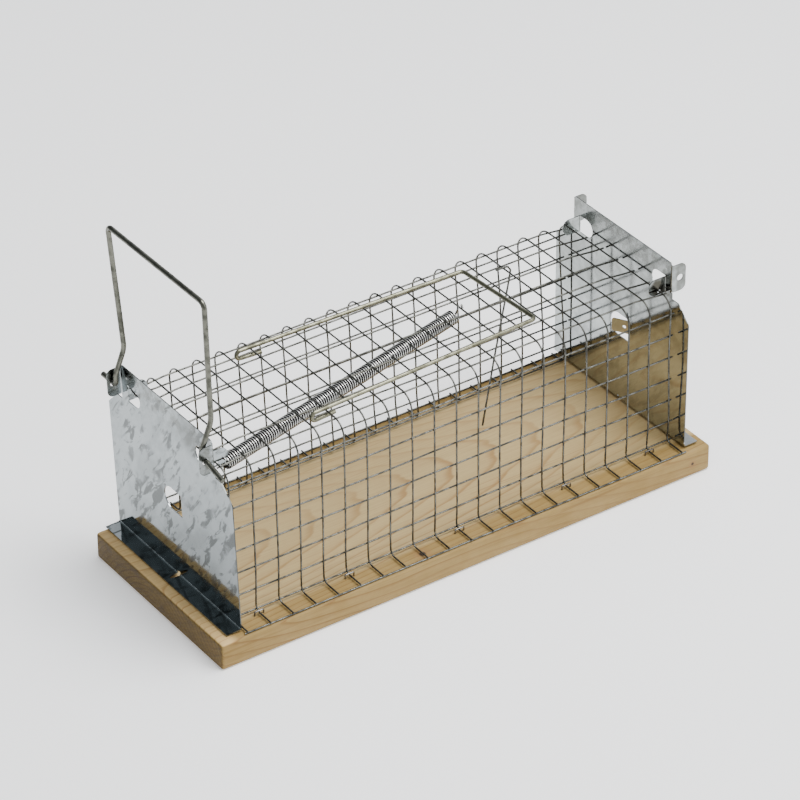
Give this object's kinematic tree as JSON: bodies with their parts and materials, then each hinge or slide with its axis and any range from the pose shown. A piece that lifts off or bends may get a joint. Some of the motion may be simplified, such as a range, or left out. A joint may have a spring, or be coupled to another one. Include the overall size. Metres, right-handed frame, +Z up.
{
  "type": "live catch trap",
  "caption": "Live catch trap: a welded wire tunnel on a pine board with a fixed sheet end, a sprung sheet door, a wire setting loop, a latch bar and a bait hook.",
  "frame": {"origin": "centre of the board's flat underside", "axes": "+X along the board from the door to the fixed end plate, +Y to the back, +Z up"},
  "size_m": [0.286, 0.1114, 0.1904],
  "materials": {
    "pine": "planed, unvarnished",
    "galvanised_sheet": "spangled galvanised sheet",
    "galvanised_wire": "galvanised wire",
    "loop_steel": "dull drawn wire",
    "zinc_latch": "yellowish zinc",
    "fastener_steel": "plain steel"
  },
  "bodies": {
    "frame": {"base_board": "pine", "cage_mesh": "galvanised_wire", "rear_plate": "galvanised_sheet", "rear_plate_nail": "fastener_steel", "door_spring": "galvanised_wire", "staple_front_01": "fastener_steel", "staple_front_05": "fastener_steel", "staple_front_10": "fastener_steel", "staple_front_15": "fastener_steel", "staple_front_19": "fastener_steel", "staple_back_01": "fastener_steel", "staple_back_05": "fastener_steel", "staple_back_10": "fastener_steel", "staple_back_15": "fastener_steel", "staple_back_19": "fastener_steel"},
    "door": {"door_plate": "galvanised_sheet"},
    "loop": {"door_loop": "loop_steel"},
    "latch": {"latch_wire": "zinc_latch"},
    "bait_hook": {"bait_hook": "galvanised_wire"}
  },
  "joints": [
    {"name": "door_hinge", "type": "hinge", "parent": "frame", "child": "door", "pos_m": [-0.12802, 0.0022, 0.09778], "axis": [0, 1, 0], "range_deg": [0, 90], "deforming": ["door_spring"]},
    {"name": "loop_pivot", "type": "hinge", "parent": "door", "child": "loop", "pos_m": [-0.13678, 0.0022, 0.1051], "axis": [0, 1, 0], "range_deg": [-170, 0]},
    {"name": "latch_hinge", "type": "hinge", "parent": "frame", "child": "latch", "pos_m": [-0.06452, 0.0031, 0.09969], "axis": [0, -1, 0], "range_deg": [0, 115]},
    {"name": "bait_hook_swing", "type": "hinge", "parent": "frame", "child": "bait_hook", "pos_m": [0.07518, 0.02374, 0.09969], "axis": [0, 1, 0], "range_deg": [-18, 25]}
  ]
}
